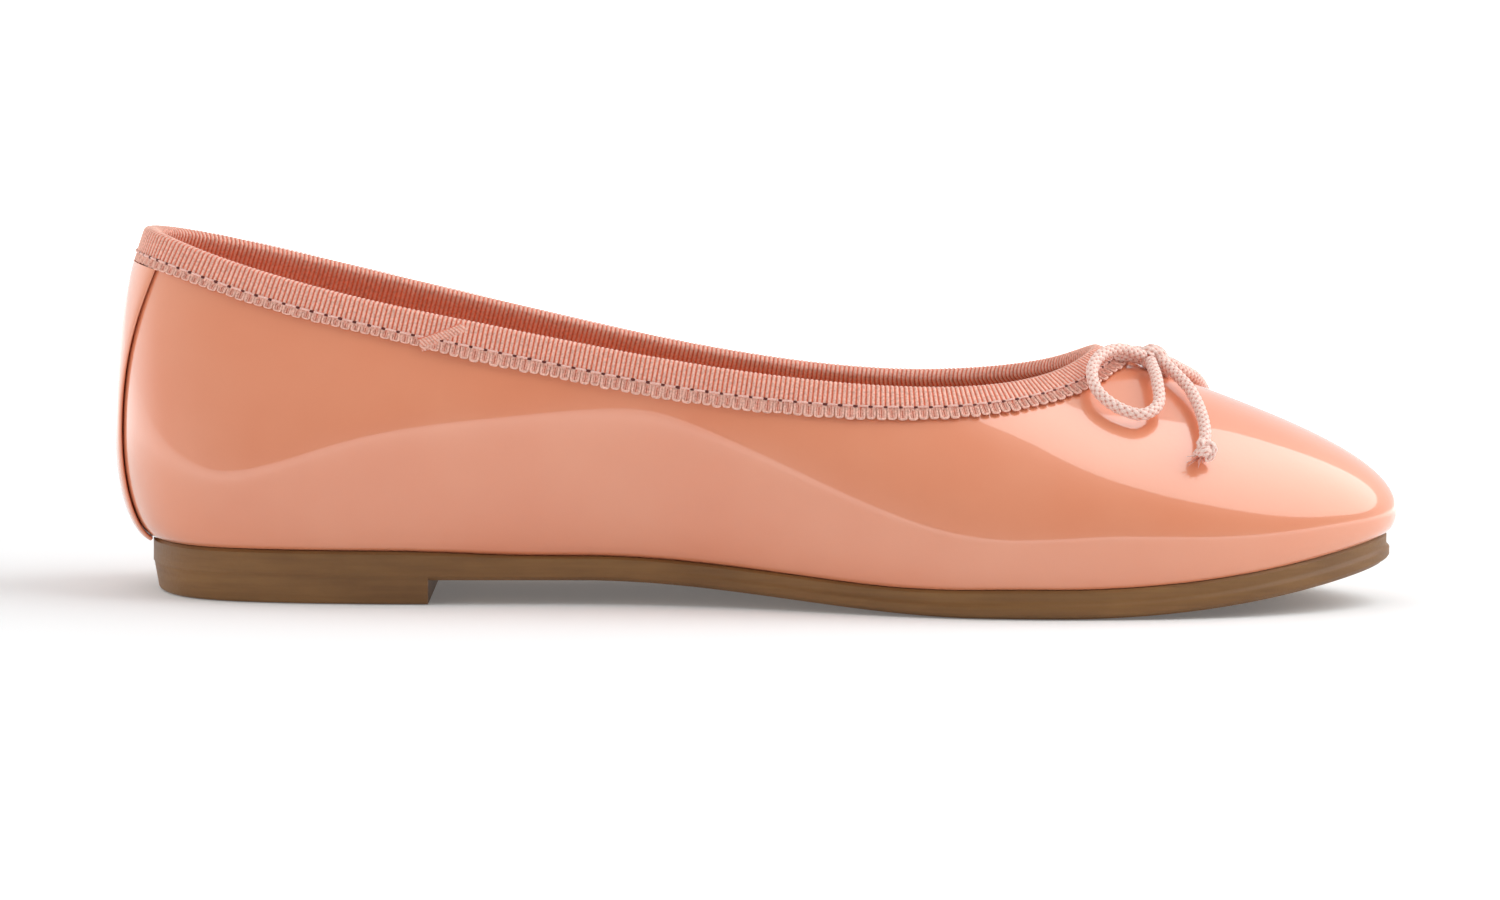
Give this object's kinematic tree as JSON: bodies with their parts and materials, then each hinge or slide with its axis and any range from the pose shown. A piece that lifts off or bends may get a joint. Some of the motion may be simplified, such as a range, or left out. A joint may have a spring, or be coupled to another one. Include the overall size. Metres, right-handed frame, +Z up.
{
  "type": "ballet flat",
  "caption": "Low-heeled left ballet flat with a patent upper, ribbon-bound topline, drawstring bow at the throat and moulded rubber sole.",
  "frame": {"origin": "on the floor, at the middle of the shoe's bounding box", "axes": "+X from heel to toe, +Y towards the outer side of the left foot, +Z up"},
  "size_m": [0.25, 0.087, 0.0705],
  "materials": {
    "gum_rubber": "moulded gum rubber, satin",
    "patent": "patent, high gloss",
    "lining": "plain lining, matt",
    "ribbon": "ribbed ribbon with a looped edge",
    "cord": "braided cord, slight sheen"
  },
  "bodies": {
    "root": {"outsole": "gum_rubber", "upper": "patent", "insole": "lining", "top_binding": "ribbon", "back_stay": "patent", "bow_knot": "cord", "bow_loop_inner": "cord", "bow_loop_outer": "cord", "bow_tail_inner": "cord", "bow_tail_outer": "cord", "tail_knot_inner": "cord", "tail_knot_outer": "cord"}
  },
  "joints": []
}
